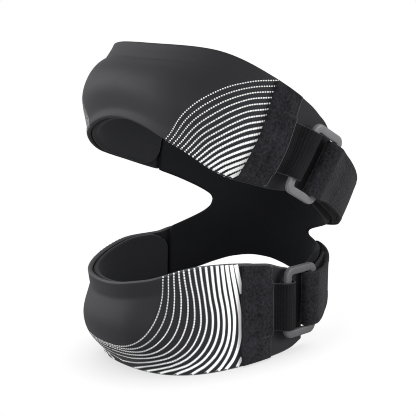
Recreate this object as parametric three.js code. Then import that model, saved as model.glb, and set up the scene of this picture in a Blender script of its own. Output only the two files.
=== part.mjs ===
// Two-band patella strap, closed, as it stands on a table. Millimetres, +Z up.
// -Y is the kneecap side, +X is the buckle side, +Y is the back of the knee.
import * as THREE from 'three';

// ---------- driving dimensions ----------
const LOWER = { depth: 68.3, width: 47.1, egg: -0.007, eggBack: 0 };      // half sizes of the lower ring, front-back and side
const UPPER = { depth: 70.6, width: 62.7, egg: -0.376, eggBack: -0.10 };  // half sizes of the upper ring; egg widens the front
const SQUARE = 2.15;            // superellipse power of both rings
const SIZE_FROM = 45, SIZE_TO = 105;      // heights between which the lower ring grows into the upper
const BEND = 23.2, BEND_FROM = 15.0, BEND_TO = 110.8;   // bend of the leg axis, degrees and heights
const CALF_LEAN = 0.287, THIGH_LEAN = -0.054;           // front slopes below w=50 and above w=100
const WAIST = -1.8, WAIST_AT = 75, WAIST_SPAN = 22;     // fullness behind the knee
const PITCH = 5.0;              // degrees that the whole leans back to stand on its lower edge
const FLOOR = -5.75;            // height of the floor before it is moved to z = 0
const ORIGIN = { x: 3.245, y: 11.035 };     // middle of the bounding box

const WALL = 2.4;               // padded fabric wall
const FLAP = 1.7;               // wall of the tapered end under the buckle
const GAP = 0.7;
const PAD = 3.0;                // lining pad
const PANEL = 2.4;              // panel behind the knee
const PATCH = 1.5;              // napped patch
const WEB = 1.2, WEB_WIDE = 25.4;         // ribbed elastic
const STRAP = 1.7, STRAP_WIDE = 28.6;     // closing strap, each of its two layers
const BUCKLE = { tall: 37.8, wide: 24.8, bar: 4.2, thick: 3.0, corner: 5.0, bevel: 0.7, at: 5.6 };
const BULGE_UPPER = { high: 6.7, above: 3.0, below: 9.4, edge: 2.2, power: 1.0, foot: 1.5 };   // raised pad: from this far above the lower edge to this far below the upper
const BULGE_LOWER = { high: 7.8, above: 2.6, below: 7.2, edge: 2.2, power: 1.25, foot: 1.25 };
const TUCK_TOP = 2.2, TUCK_TOP_SPAN = 14.7, TUCK_BOTTOM = 1.1, TUCK_BOTTOM_SPAN = 13.9;  // how far the upper band's edges draw in over the front

// ---------- tables: t is the angle from the front towards the buckle side, in degrees ----------
const upperEdges = [            // edges of the upper front band
  { t: -98, bottom: 86.0, top: 113.5 }, { t: -90, bottom: 81.2, top: 121.5 }, { t: -75, bottom: 81.8, top: 127.6 },
  { t: -60, bottom: 82.2, top: 130.7 }, { t: -30, bottom: 88.1, top: 134.7 }, { t: 0, bottom: 94.7, top: 133.8 },
  { t: 30, bottom: 88.1, top: 135.4 }, { t: 60, bottom: 81.4, top: 130.9 }, { t: 77, bottom: 81.6, top: 127.6 },
  { t: 85, bottom: 82.6, top: 125.8 }, { t: 92, bottom: 84.5, top: 122.8 }, { t: 99, bottom: 88.5, top: 117.5 }];
const lowerEdges = [            // edges of the lower front band; rise is the height above the floor line
  { t: -103, rise: 9, top: 50.0 }, { t: -98, rise: 0.6, top: 49.4 }, { t: -90, rise: 0, top: 46.4 },
  { t: -76, rise: 0, top: 44.7 }, { t: -60, rise: 0, top: 40.9 }, { t: -45, rise: 0, top: 37.7 }, { t: -30, rise: 0, top: 35.8 },
  { t: 0, rise: 0, top: 34.5 }, { t: 30, rise: 0, top: 37.5 }, { t: 60, rise: 0, top: 44.2 }, { t: 78, rise: 0, top: 45.3 },
  { t: 90, rise: 0, top: 44.9 }, { t: 98, rise: 0.0, top: 42.5 }, { t: 105, rise: 0.5, top: 40.6 }, { t: 113, rise: 2.6, top: 38.0 }];
// panel behind the knee: b is the same angle, running from the far side round the back, so 180 is the
// back centre and 180..260 is the buckle side
const panelBottom = [
  { b: 90, w: 15.5 }, { b: 97, w: 18.5 }, { b: 106, w: 22.2 }, { b: 113, w: 24.2 }, { b: 121, w: 26.8 },
  { b: 132, w: 29.8 }, { b: 143, w: 31.0 }, { b: 155, w: 29.8 }, { b: 163, w: 27.7 }, { b: 170, w: 25.5 },
  { b: 180, w: 22.2 }, { b: 190, w: 19.5 }, { b: 200, w: 17.5 }, { b: 212, w: 15.5 }, { b: 223, w: 13.3 },
  { b: 232, w: 11.6 }, { b: 243, w: 10.5 }, { b: 262, w: 10.5 }];
const panelTop = [
  { b: 90, w: 118.5 }, { b: 100, w: 113.8 }, { b: 115, w: 107.5 }, { b: 131, w: 102.6 }, { b: 145, w: 100.8 },
  { b: 158, w: 101.2 }, { b: 170, w: 102.6 }, { b: 185, w: 104 }, { b: 200, w: 104.6 }, { b: 215, w: 104.8 },
  { b: 229, w: 105.4 }, { b: 243, w: 108 }, { b: 262, w: 112 }];
const FAR_NOTCH = { b: 119.4, w: 70.6 }, NEAR_NOTCH = { b: 183.4, w: 57.6 };
const farNotch = [              // opening of the notch, off = degrees from its tip
  { off: 0, low: 0, high: 0 }, { off: 0.8, low: 3.6, high: 2.0 }, { off: 2.4, low: 6.3, high: 3.4 },
  { off: 10.8, low: 13.7, high: 6.9 }, { off: 22, low: 20.2, high: 9.3 }, { off: 33, low: 25.5, high: 10.3 }];
const nearNotch = [
  { off: 0, low: 0, high: 0 }, { off: 1, low: 2.2, high: 2.0 }, { off: 5.6, low: 4.9, high: 5.0 },
  { off: 16, low: 7.5, high: 9.0 }, { off: 30, low: 9.3, high: 13.0 }, { off: 40, low: 10.8, high: 14.8 },
  { off: 47, low: 13.6, high: 16.0 }, { off: 54, low: 16.6, high: 18.0 }, { off: 67, low: 18.0, high: 22.6 }, { off: 80, low: 18.0, high: 28.0 }];
const upperStrapMid = [         // middle height of the upper strap along the ring
  { t: 80, w: 100.8 }, { t: 90.2, w: 100.2 }, { t: 100, w: 98.5 }, { t: 110, w: 96.2 }, { t: 118, w: 93.8 },
  { t: 131, w: 90.1 }, { t: 150, w: 84.8 }, { t: 185, w: 80.5 }];
const lowerStrapMid = [
  { t: 95, w: 22.9 }, { t: 112, w: 22.9 }, { t: 121, w: 23.9 }, { t: 129, w: 26.3 }, { t: 137, w: 28.6 },
  { t: 150, w: 31.2 }, { t: 175, w: 35.6 }];
const webbingPath = [           // s = millimetres along the ring from the buckle's middle, d = height off the wall
  { s: -27.0, d: 3.4 }, { s: -21.0, d: 3.4 }, { s: -16.8, d: 3.45 }, { s: -15.6, d: 4.0 }, { s: -14.3, d: 5.8 },
  { s: -13.1, d: 7.5 }, { s: -11.8, d: 8.25 }, { s: -10.0, d: 8.45 }, { s: -7.5, d: 7.95 }, { s: -5.9, d: 6.8 },
  { s: -5.4, d: 5.6 }, { s: -5.9, d: 4.3 }, { s: -7.7, d: 3.25 }, { s: -10.2, d: 2.9 }, { s: -13.0, d: 2.8 }];
const strapLoop = [             // from the wall round the buckle's far bar
  { s: 44, d: 0.90 }, { s: 26, d: 1.0 }, { s: 20.2, d: 1.7 }, { s: 15.2, d: 2.5 }, { s: 10.6, d: 2.75 }, { s: 6.8, d: 3.0 },
  { s: 4.6, d: 3.9 }, { s: 3.8, d: 5.4 }, { s: 4.5, d: 7.1 }, { s: 7.0, d: 8.5 }, { s: 10.6, d: 8.9 }];
const upperStrapBack = [        // and back over itself
  { s: 14.6, d: 7.9 }, { s: 18, d: 7.2 }, { s: 23.5, d: 6.5 }, { s: 30, d: 6.1 }, { s: 38, d: 5.8 }, { s: 50, d: 5.0 }, { s: 62, d: 3.8 }];
const lowerStrapBack = [
  { s: 14.6, d: 7.7 }, { s: 18, d: 6.8 }, { s: 23.5, d: 6.0 }, { s: 30, d: 5.1 }, { s: 38, d: 4.0 }, { s: 50, d: 3.1 }];
const strapPath = (end, back) => [{ s: end - 28, d: 0.90 }, ...strapLoop, ...back, { s: end, d: 3.05 }];

// ---------- small helpers ----------
const rad = deg => deg * Math.PI / 180;
const clamp01 = u => Math.min(1, Math.max(0, u));
const smooth = u => { u = clamp01(u); return u * u * (3 - 2 * u); };
const power = (v, p) => Math.sign(v) * Math.pow(Math.abs(v) + 1e-9, p);

// smooth interpolation through a table's rows (Catmull-Rom with real spacing, flat past the ends)
function read(table, key, column, x) {
  const n = table.length;
  if (x <= table[0][key]) return table[0][column];
  if (x >= table[n - 1][key]) return table[n - 1][column];
  let i = 0;
  while (x > table[i + 1][key]) i++;
  const k = j => table[j][key], v = j => table[j][column];
  const slope = j => {
    if (j <= 0 || j >= n - 1) return 0.5 * (v(Math.min(j + 1, n - 1)) - v(Math.max(j - 1, 0))) / (k(Math.min(j + 1, n - 1)) - k(Math.max(j - 1, 0)));
    const a = (v(j) - v(j - 1)) / (k(j) - k(j - 1)), b = (v(j + 1) - v(j)) / (k(j + 1) - k(j));
    return a * b <= 0 ? 0 : 2 * a * b / (a + b);
  };
  const h = k(i + 1) - k(i), u = (x - k(i)) / h;
  return v(i) * (2 * u ** 3 - 3 * u ** 2 + 1) + slope(i) * h * (u ** 3 - 2 * u ** 2 + u)
    + v(i + 1) * (3 * u ** 2 - 2 * u ** 3) + slope(i + 1) * h * (u ** 3 - u ** 2);
}

// ---------- the bent-leg surface ----------
// axis of the leg: it stands upright through the calf and bends back through the knee
const AXIS_LOW = -30, AXIS_STEP = 0.5;
const axis = [];
{
  let y = 0, z = AXIS_LOW;
  for (let i = 0; i <= 460; i++) {
    const w = AXIS_LOW + i * AXIS_STEP;
    axis.push({ y, z });
    const a = rad(BEND) * smooth((w + AXIS_STEP / 2 - BEND_FROM) / (BEND_TO - BEND_FROM));
    y += Math.sin(a) * AXIS_STEP; z += Math.cos(a) * AXIS_STEP;
  }
}
function axisAt(w) {
  const f = (w - AXIS_LOW) / AXIS_STEP, i = Math.max(0, Math.min(459, Math.floor(f))), u = f - i;
  return { y: axis[i].y * (1 - u) + axis[i + 1].y * u, z: axis[i].z * (1 - u) + axis[i + 1].z * u,
    a: rad(BEND) * smooth((w - BEND_FROM) / (BEND_TO - BEND_FROM)) };
}
// point at angle t (degrees), height w along the axis, d millimetres out from the wall's inner face
function P(t, w, d) {
  const c = Math.cos(rad(t)), s = Math.sin(rad(t)), g = smooth((w - SIZE_FROM) / (SIZE_TO - SIZE_FROM));
  const front = Math.max(c, 0), back = Math.max(-c, 0);
  const a = LOWER.depth * (1 - g) + UPPER.depth * g + d - CALF_LEAN * Math.max(50 - w, 0) * front
    + THIGH_LEAN * Math.max(w - 100, 0) * front - WAIST * Math.exp(-(((w - WAIST_AT) / WAIST_SPAN) ** 2)) * back;
  const b = (LOWER.width * (1 - g) + UPPER.width * g)
    * (1 - (LOWER.egg * (1 - g) + UPPER.egg * g) * front + (LOWER.eggBack * (1 - g) + UPPER.eggBack * g) * back) + d;
  const x = b * power(s, 2 / SQUARE), u = a * power(c, 2 / SQUARE), k = axisAt(w);
  const y = k.y - u * Math.cos(k.a), z = k.z + u * Math.sin(k.a), p = rad(PITCH);
  return new THREE.Vector3(x - ORIGIN.x, y * Math.cos(p) + z * Math.sin(p) - ORIGIN.y, z * Math.cos(p) - y * Math.sin(p) - FLOOR);
}
// height at which the wall meets the floor
function floorW(t, d) {
  let w = -5;
  for (let i = 0; i < 5; i++) w -= P(t, w, d).z / 0.97;
  return w;
}

// ---------- raised pads on the front bands ----------
function dome(v, form) { const q = Math.abs(2 * v - 1); return q >= 1 ? 0 : form.high * Math.pow(1 - Math.pow(q, form.edge), v < 0.5 ? form.foot : form.power); }
function upperBulge(t, w) {
  const low = read(upperEdges, 't', 'bottom', t) + BULGE_UPPER.above, high = read(upperEdges, 't', 'top', t) - BULGE_UPPER.below;
  return (1 - smooth((Math.abs(t) - 14) / 46)) * dome((w - low) / (high - low), BULGE_UPPER);
}
function lowerBulge(t, w) {
  const low = floorW(t, 0) + BULGE_LOWER.above, high = read(lowerEdges, 't', 'top', t) - BULGE_LOWER.below;
  return (1 - smooth((Math.abs(t) - 16) / 40)) * dome((w - low) / (high - low), BULGE_LOWER);
}
// how far the upper band and its pad draw in at height w
function upperTuck(t, w) {
  const fade = t < 0 ? 1 - smooth((-t - 35) / 45) : 1 - smooth((t - 15) / 40);
  const low = read(upperEdges, 't', 'bottom', t), high = read(upperEdges, 't', 'top', t);
  return fade * (TUCK_TOP * smooth((w - high + TUCK_TOP_SPAN) / TUCK_TOP_SPAN) + TUCK_BOTTOM * smooth((low + TUCK_BOTTOM_SPAN - w) / TUCK_BOTTOM_SPAN));
}

// ---------- a wall from a grid of (column, row) nodes ----------
// node(i, j) gives { key, out, inn }; equal keys are one node, so rows may meet at a tip
function wall(columns, rows, node, has = () => true) {
  const points = [], index = new Map(), ids = [];
  for (let i = 0; i < columns; i++) {
    ids.push([]);
    for (let j = 0; j < rows; j++) {
      const n = node(i, j);
      if (!index.has(n.key)) { index.set(n.key, points.length / 2); points.push(n.out, n.inn); }
      ids[i].push(index.get(n.key));
    }
  }
  const faces = [], edges = new Map();
  const add = (a, b, c) => {
    if (a === b || b === c || a === c) return;
    faces.push([2 * a, 2 * b, 2 * c], [2 * c + 1, 2 * b + 1, 2 * a + 1]);
    for (const [p, q] of [[a, b], [b, c], [c, a]]) {
      if (edges.has(q + '_' + p)) edges.delete(q + '_' + p); else edges.set(p + '_' + q, [p, q]);
    }
  };
  for (let i = 0; i + 1 < columns; i++) for (let j = 0; j + 1 < rows; j++) {
    if (!has(i, j)) continue;
    const a = ids[i][j], b = ids[i + 1][j], c = ids[i + 1][j + 1], d = ids[i][j + 1];
    add(a, b, c); add(a, c, d);
  }
  for (const [p, q] of edges.values()) faces.push([2 * q, 2 * p, 2 * p + 1], [2 * q, 2 * p + 1, 2 * q + 1]);
  let volume = 0;
  for (const [a, b, c] of faces) volume += points[a].dot(new THREE.Vector3().crossVectors(points[b], points[c]));
  const flat = new Float32Array(points.length * 3);
  points.forEach((p, i) => p.toArray(flat, 3 * i));
  const used = new Map(), positions = [], order = [];
  for (const f of faces) for (const v of volume < 0 ? [f[0], f[2], f[1]] : f) {
    if (!used.has(v)) { used.set(v, positions.length / 3); positions.push(flat[3 * v], flat[3 * v + 1], flat[3 * v + 2]); }
    order.push(used.get(v));
  }
  const geometry = new THREE.BufferGeometry();
  geometry.setAttribute('position', new THREE.Float32BufferAttribute(positions, 3));
  geometry.setIndex(order);
  geometry.computeVertexNormals();
  return geometry;
}
const steps = (from, to, n) => Array.from({ length: n + 1 }, (_, i) => from + (to - from) * i / n);

// a band of wall over angles ts, between two edges, from inn(t, w) to out(t, w)
function band(ts, rows, low, high, inn, out, ground = false) {
  return wall(ts.length, rows + 1, (i, j) => {
    const t = ts[i], v = j / rows, wo = low(t, true) * (1 - v) + high(t) * v, wi = low(t, false) * (1 - v) + high(t) * v;
    const o = P(t, wo, out(t, wo)), n = P(t, wi, inn(t, wi));
    if (ground) { o.z = Math.max(o.z, 0); n.z = Math.max(n.z, 0); if (j === 0 && o.z < 0.6 && n.z < 0.6) { o.z = 0; n.z = 0; } }
    return { key: i + '_' + j, out: o, inn: n };
  });
}

// ---------- materials ----------
const finish = (color, roughness, metalness = 0) => new THREE.MeshStandardMaterial({ color, roughness, metalness });
const group = new THREE.Group();
function piece(name, geometry, material) {
  const mesh = new THREE.Mesh(geometry, material);
  mesh.name = name;
  group.add(mesh);
}
const smoothCloth = finish(0x3a3a3d, 0.75), lining = finish(0x1f2023, 0.95), panelCloth = finish(0x16181b, 0.95);
const nap = finish(0x28282b, 1.0), elastic = finish(0x1c1c1d, 0.9), strapCloth = finish(0x303034, 0.95);
const buckleGrey = finish(0x6e6e71, 0.45);

// ---------- the two front bands ----------
const flapTaper = (t, from, to) => WALL + (FLAP - WALL) * smooth((t - from) / (to - from));
const upperT = [-98, -93, -86, -78, -69, -60, -52, -44, -36, -28, -20, -12, -4, 4, 12, 20, 28, 36, 44, 52, 60, 68, 76, 83, 91, 99];
const lowerT = [-103, -98, -92, -85, -77, -68, -60, -52, -44, -36, -28, -20, -12, -4, 4, 12, 20, 28, 36, 44, 52, 60, 68, 76, 84, 92, 99, 106, 113];
piece('upper_front', band(upperT, 12, t => read(upperEdges, 't', 'bottom', t), t => read(upperEdges, 't', 'top', t),
  (t, w) => -upperTuck(t, w), (t, w) => flapTaper(t, 72, 80) + upperBulge(t, w) - upperTuck(t, w)), smoothCloth);
piece('lower_front', band(lowerT, 12,
  (t, outer) => floorW(t, outer ? WALL : 0) + read(lowerEdges, 't', 'rise', t), t => read(lowerEdges, 't', 'top', t),
  () => 0, (t, w) => flapTaper(t, 88, 96) + lowerBulge(t, w), true), smoothCloth);

// ---------- lining pads, with rounded ends ----------
// how far a rounded corner of radius r (degrees) pulls an edge in, near the pad's end
const corner = (off, r, deep) => off >= r ? 0 : deep * (1 - Math.sqrt(Math.max(0, 1 - (1 - off / r) ** 2)));
function pad(name, from, to, low, high, deep, tuck) {
  const ts = [from, from + 0.6, from + 2, from + 4.5, from + 9, ...steps(from + 15, to - 15, 20), to - 9, to - 4.5, to - 2, to - 0.6, to];
  const near = t => Math.min(t - from, to - t);
  piece(name, band(ts, 4, t => low(t) + 0.9 + corner(near(t), 9, deep), t => high(t) - 0.9 - corner(near(t), 9, deep),
    (t, w) => -GAP - PAD - tuck(t, w), (t, w) => -GAP - tuck(t, w)), lining);
}
pad('upper_pad', -90.1, 90.1, t => read(upperEdges, 't', 'bottom', t), t => read(upperEdges, 't', 'top', t), 10, upperTuck);
pad('lower_pad', -94.6, 94.6, t => floorW(t, -GAP) + read(lowerEdges, 't', 'rise', t) + 0.5, t => read(lowerEdges, 't', 'top', t), 10, () => 0);

// ---------- the panel behind the knee ----------
const notchRow = (table, off, column) => {
  const r = table.map(e => ({ q: Math.sqrt(e.off), low: e.low, high: e.high }));
  return read(r, 'q', column, Math.sqrt(off));
};
{
  const farOff = [28.4, 26, 23.4, 17.5, 12.5, 8, 4.6, 2.3, 0.9, 0.2, 0], nearOff = [0, 0.3, 1.2, 3, 6, 10, 15, 21, 28, 35, 42, 49, 55.6, 62, 69, 75.6];
  const bs = [...farOff.map(o => FAR_NOTCH.b - o), ...steps(FAR_NOTCH.b, NEAR_NOTCH.b, 11).slice(1, -1), ...nearOff.map(o => NEAR_NOTCH.b + o)];
  const LOW = 4, HIGH = 4;      // rows of the lower and the upper arms
  const notch = b => {
    if (b <= FAR_NOTCH.b) { const o = FAR_NOTCH.b - b; return { low: FAR_NOTCH.w - notchRow(farNotch, o, 'low'), high: FAR_NOTCH.w + notchRow(farNotch, o, 'high') }; }
    if (b >= NEAR_NOTCH.b) { const o = b - NEAR_NOTCH.b; return { low: NEAR_NOTCH.w - notchRow(nearNotch, o, 'low'), high: NEAR_NOTCH.w + notchRow(nearNotch, o, 'high') }; }
    const u = smooth((b - FAR_NOTCH.b) / (NEAR_NOTCH.b - FAR_NOTCH.b)), w = FAR_NOTCH.w * (1 - u) + NEAR_NOTCH.w * u;
    return { low: w, high: w };
  };
  const inside = (b) => b > FAR_NOTCH.b - 1e-6 && b < NEAR_NOTCH.b + 1e-6;
  piece('back_panel', wall(bs.length, LOW + HIGH + 2, (i, j) => {
    const b = bs[i], n = notch(b);
    const w = j <= LOW ? read(panelBottom, 'b', 'w', b) + (n.low - read(panelBottom, 'b', 'w', b)) * j / LOW
      : n.high + (read(panelTop, 'b', 'w', b) - n.high) * (j - LOW - 1) / HIGH;
    const joined = inside(b) && (j === LOW || j === LOW + 1);
    return { key: i + '_' + (joined ? LOW : j), out: P(-b, w, -GAP), inn: P(-b, w, -GAP - PANEL) };
  }, (i, j) => {
    if (j === LOW) return false;                                   // the open notches, and the joined rows of the middle
    if (j < LOW) return bs[i] > 95.9 && bs[i + 1] < 239.5;         // lower arms end at the pad and at the buckle
    return true;                                                   // upper arms
  }), panelCloth);
}

// ---------- distance along the ring ----------
function track(w) {
  const s = [0];
  for (let t = 41; t <= 220; t++) s.push(s[s.length - 1] + P(t, w, 3).distanceTo(P(t - 1, w, 3)));
  return {
    at: t => s[Math.floor(t) - 40] + (t - Math.floor(t)) * (s[Math.floor(t) - 39] - s[Math.floor(t) - 40]),
    angle: d => { let i = 0; while (s[i + 1] < d) i++; return 40 + i + (d - s[i]) / (s[i + 1] - s[i]); },
  };
}

// ---------- one closure: patch, webbing, buckle and strap ----------
function closure(prefix, o) {
  const ring = track(o.w), s0 = ring.at(o.t);
  // flat frame of the buckle on the wall: along the ring, up the leg, and outwards
  const mid = P(o.t, o.w, 0), along = P(ring.angle(s0 + 9), o.w, 0).sub(P(ring.angle(s0 - 9), o.w, 0)).normalize();
  const up = P(o.t, o.w + 13, 0).sub(P(o.t, o.w - 13, 0)).normalize();
  const out = new THREE.Vector3().crossVectors(along, up).normalize();
  up.crossVectors(out, along).normalize();
  const turn = new THREE.Quaternion().setFromAxisAngle(out, rad(o.turn));
  along.applyQuaternion(turn); up.applyQuaternion(turn);
  const lift = P(ring.angle(s0), o.w, 0).sub(P(ring.angle(s0 + 9), o.w, 0).add(P(ring.angle(s0 - 9), o.w, 0)).multiplyScalar(0.5)).dot(out);
  const flat = (s, w, d) => mid.clone().addScaledVector(along, s).addScaledVector(up, w - o.w - s * Math.tan(rad(o.turn))).addScaledVector(out, d - lift * 0.5 + o.raise);
  // a point of the soft pieces: flat beside the buckle, and on the curved wall away from it
  const soft = (s, w, d) => {
    const k = 1 - smooth((Math.abs(s) - 10.5) / (s < 0 ? 8 : 13)), curved = P(ring.angle(s0 + s), w, d);
    return curved.lerp(flat(s, w, d), k);
  };
  // a strip that follows a path in (s, d), with its width across
  const strip = (path, thick, count, wide, middle, shiftOf = () => 0) => {
    const line = new THREE.CatmullRomCurve3(path.map(p => new THREE.Vector3(p.s, p.d, 0)), false, 'centripetal');
    line.arcLengthDivisions = 600;
    return wall(count + 1, 4, (i, j) => {
      const u = i / count, at = line.getPointAt(u), dir = line.getTangentAt(u);
      const nx = -dir.y * thick / 2, ny = dir.x * thick / 2;
      const w = middle(ring.angle(s0 + Math.max(at.x, -30))) + wide * (j / 3 - 0.5) + shiftOf(at.x);
      return { key: i + '_' + j, out: soft(at.x - nx, w, at.y - ny), inn: soft(at.x + nx, w, at.y + ny) };
    });
  };
  // patch: it rises over the end of the webbing
  const patchT = steps(o.seam[0], o.seam[1], 8), webLow = o.web - WEB_WIDE / 2, webHigh = o.web + WEB_WIDE / 2;
  const start = ring.angle(s0 + webbingPath[0].s);
  const rise = (t, w) => (WEB + 0.6) * smooth((t - start + 1.6) / 1.4) * smooth((w - webLow + 2.6) / 2) * smooth((webHigh + 2.6 - w) / 2);
  const rowsAt = (t) => [o.low(t) + 0.6, webLow - 2.6, webLow - 0.6, (webLow + webHigh) / 2 - 4, (webLow + webHigh) / 2 + 4, webHigh + 0.6, webHigh + 2.6, o.high(t) - 0.6];
  piece(prefix + '_loop_patch', wall(patchT.length, 8, (i, j) => {
    const t = patchT[i], w = rowsAt(t)[j], base = WALL + 0.62 + rise(t, w);
    return { key: i + '_' + j, out: P(t, w, base + PATCH), inn: P(t, w, base) };
  }), nap);
  piece(prefix + '_webbing', strip(webbingPath, WEB, 26, WEB_WIDE, () => o.web), elastic);
  piece(prefix + '_strap', strip(strapPath(o.end, o.back), STRAP, 46, STRAP_WIDE, t => read(o.mid, 't', 'w', t)), strapCloth);
  // buckle: a flat ring with rounded corners
  const box = (x, y, r, shape) => {
    shape.moveTo(-x + r, -y); shape.lineTo(x - r, -y); shape.absarc(x - r, -y + r, r, -Math.PI / 2, 0);
    shape.lineTo(x, y - r); shape.absarc(x - r, y - r, r, 0, Math.PI / 2);
    shape.lineTo(-x + r, y); shape.absarc(-x + r, y - r, r, Math.PI / 2, Math.PI);
    shape.lineTo(-x, -y + r); shape.absarc(-x + r, -y + r, r, Math.PI, 1.5 * Math.PI);
    return shape;
  };
  const { wide, tall, bar, thick, corner: r, bevel } = BUCKLE;
  const ringShape = box(wide / 2 - bevel, tall / 2 - bevel, r - bevel, new THREE.Shape());
  ringShape.holes.push(box(wide / 2 - bar + bevel, tall / 2 - bar + bevel, 1.4 + bevel, new THREE.Path()));
  const solid = new THREE.ExtrudeGeometry(ringShape, { depth: thick - 2 * bevel, bevelEnabled: true, bevelThickness: bevel, bevelSize: bevel, bevelSegments: 1, curveSegments: 5 });
  solid.translate(0, 0, -(thick - 2 * bevel) / 2);
  const mesh = new THREE.Mesh(solid, buckleGrey);
  mesh.name = prefix + '_buckle';
  mesh.quaternion.setFromRotationMatrix(new THREE.Matrix4().makeBasis(along, up, out));
  mesh.position.copy(flat(0, o.w, BUCKLE.at));
  group.add(mesh);
}
closure('upper', {
  t: 90.2, w: 100.2, web: 102.2, seam: [61.4, 75.8], end: 101, back: upperStrapBack, mid: upperStrapMid, turn: -5, raise: 0.6,
  low: t => read(upperEdges, 't', 'bottom', t), high: t => read(upperEdges, 't', 'top', t),
});
closure('lower', {
  t: 107.1, w: 22.9, web: 21.6, seam: [78.9, 92.2], end: 66, back: lowerStrapBack, mid: lowerStrapMid, turn: 0, raise: 0.2,
  low: t => floorW(t, WALL + 1) + read(lowerEdges, 't', 'rise', t) + 0.2, high: t => read(lowerEdges, 't', 'top', t),
});

export default group;
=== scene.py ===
"""Looks of the two-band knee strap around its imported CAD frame. Metres in the scene, millimetres and degrees in the tables."""
import math
import bpy
import numpy as np
from mathutils import Matrix, Quaternion, Vector


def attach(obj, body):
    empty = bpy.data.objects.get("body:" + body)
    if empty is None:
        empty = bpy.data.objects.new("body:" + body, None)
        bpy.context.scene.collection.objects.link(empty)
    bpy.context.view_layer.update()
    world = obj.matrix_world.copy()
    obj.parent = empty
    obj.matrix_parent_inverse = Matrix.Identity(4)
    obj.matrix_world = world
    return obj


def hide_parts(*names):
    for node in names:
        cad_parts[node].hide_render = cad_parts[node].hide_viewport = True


MM = 0.001
# ---------- driving dimensions, millimetres and degrees, the same as the CAD part's ----------
LOWER = dict(depth=68.3, width=47.1, egg=-0.007, egg_back=0.0)
UPPER = dict(depth=70.6, width=62.7, egg=-0.376, egg_back=-0.10)
SQUARE = 2.15
SIZE_FROM, SIZE_TO = 45, 105
BEND, BEND_FROM, BEND_TO = 23.2, 15.0, 110.8
CALF_LEAN, THIGH_LEAN = 0.287, -0.054
WAIST, WAIST_AT, WAIST_SPAN = -1.8, 75, 22
PITCH = 5.0
FLOOR = -5.75
ORIGIN = (3.245, 11.035)
WALL, FLAP, GAP, PAD, PANEL, PATCH = 2.4, 1.7, 0.7, 3.0, 2.4, 1.5
WEB, WEB_WIDE, STRAP, STRAP_WIDE = 1.2, 25.4, 1.7, 28.6
BUCKLE = dict(tall=37.8, wide=24.8, bar=4.2, thick=3.0, corner=5.0, bevel=0.9, at=5.6)
BULGE_UPPER = dict(high=6.7, above=3.0, below=9.4, edge=2.2, power=1.0, foot=1.5)
BULGE_LOWER = dict(high=7.8, above=2.6, below=7.2, edge=2.2, power=1.25, foot=1.25)
TUCK_TOP, TUCK_TOP_SPAN, TUCK_BOTTOM, TUCK_BOTTOM_SPAN = 2.2, 14.7, 1.1, 13.9

# t is the angle from the front towards the buckle side; bottom and top are heights along the leg
UPPER_EDGES = np.array([  # t, bottom, top
    (-98, 86.0, 113.5), (-90, 81.2, 121.5), (-75, 81.8, 127.6), (-60, 82.2, 130.7), (-30, 88.1, 134.7), (0, 94.7, 133.8),
    (30, 88.1, 135.4), (60, 81.4, 130.9), (77, 81.6, 127.6), (85, 82.6, 125.8), (92, 84.5, 122.8), (99, 88.5, 117.5)])
LOWER_EDGES = np.array([  # t, rise above the floor line, top
    (-103, 9, 50.0), (-98, 0.6, 49.4), (-90, 0, 46.4), (-76, 0, 44.7), (-60, 0, 40.9), (-45, 0, 37.7), (-30, 0, 35.8),
    (0, 0, 34.5), (30, 0, 37.5), (60, 0, 44.2), (78, 0, 45.3), (90, 0, 44.9), (98, 0.0, 42.5), (105, 0.5, 40.6), (113, 2.6, 38.0)])
PANEL_BOTTOM = np.array([  # b (angle from the far side round the back), w
    (90, 15.5), (97, 18.5), (106, 22.2), (113, 24.2), (121, 26.8), (132, 29.8), (143, 31.0), (155, 29.8), (163, 27.7),
    (170, 25.5), (180, 22.2), (190, 19.5), (200, 17.5), (212, 15.5), (223, 13.3), (232, 11.6), (243, 10.5), (262, 10.5)])
PANEL_TOP = np.array([
    (90, 118.5), (100, 113.8), (115, 107.5), (131, 102.6), (145, 100.8), (158, 101.2), (170, 102.6), (185, 104),
    (200, 104.6), (215, 104.8), (229, 105.4), (243, 108), (262, 112)])
FAR_NOTCH, NEAR_NOTCH = (119.4, 70.6), (183.4, 57.6)
FAR_OPEN = np.array([(0, 0, 0), (0.8, 3.6, 2.0), (2.4, 6.3, 3.4), (10.8, 13.7, 6.9), (22, 20.2, 9.3), (33, 25.5, 10.3)])
NEAR_OPEN = np.array([(0, 0, 0), (1, 2.2, 2.0), (5.6, 4.9, 5.0), (16, 7.5, 9.0), (30, 9.3, 13.0), (40, 10.8, 14.8),
                      (47, 13.6, 16.0), (54, 16.6, 18.0), (67, 18.0, 22.6), (80, 18.0, 28.0)])
UPPER_STRAP_MID = np.array([(80, 100.8), (90.2, 100.2), (100, 98.5), (110, 96.2), (118, 93.8), (131, 90.1), (150, 84.8), (185, 80.5)])
LOWER_STRAP_MID = np.array([(95, 22.9), (112, 22.9), (121, 23.9), (129, 26.3), (137, 28.6), (150, 31.2), (175, 35.6)])
WEBBING_PATH = np.array([  # s along the ring from the buckle's middle, d off the wall
    (-27.0, 3.4), (-21.0, 3.4), (-16.8, 3.45), (-15.6, 4.0), (-14.3, 5.8), (-13.1, 7.5), (-11.8, 8.25), (-10.0, 8.45),
    (-7.5, 7.95), (-5.9, 6.8), (-5.4, 5.6), (-5.9, 4.3), (-7.7, 3.25), (-10.2, 2.9), (-13.0, 2.8)])


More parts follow.
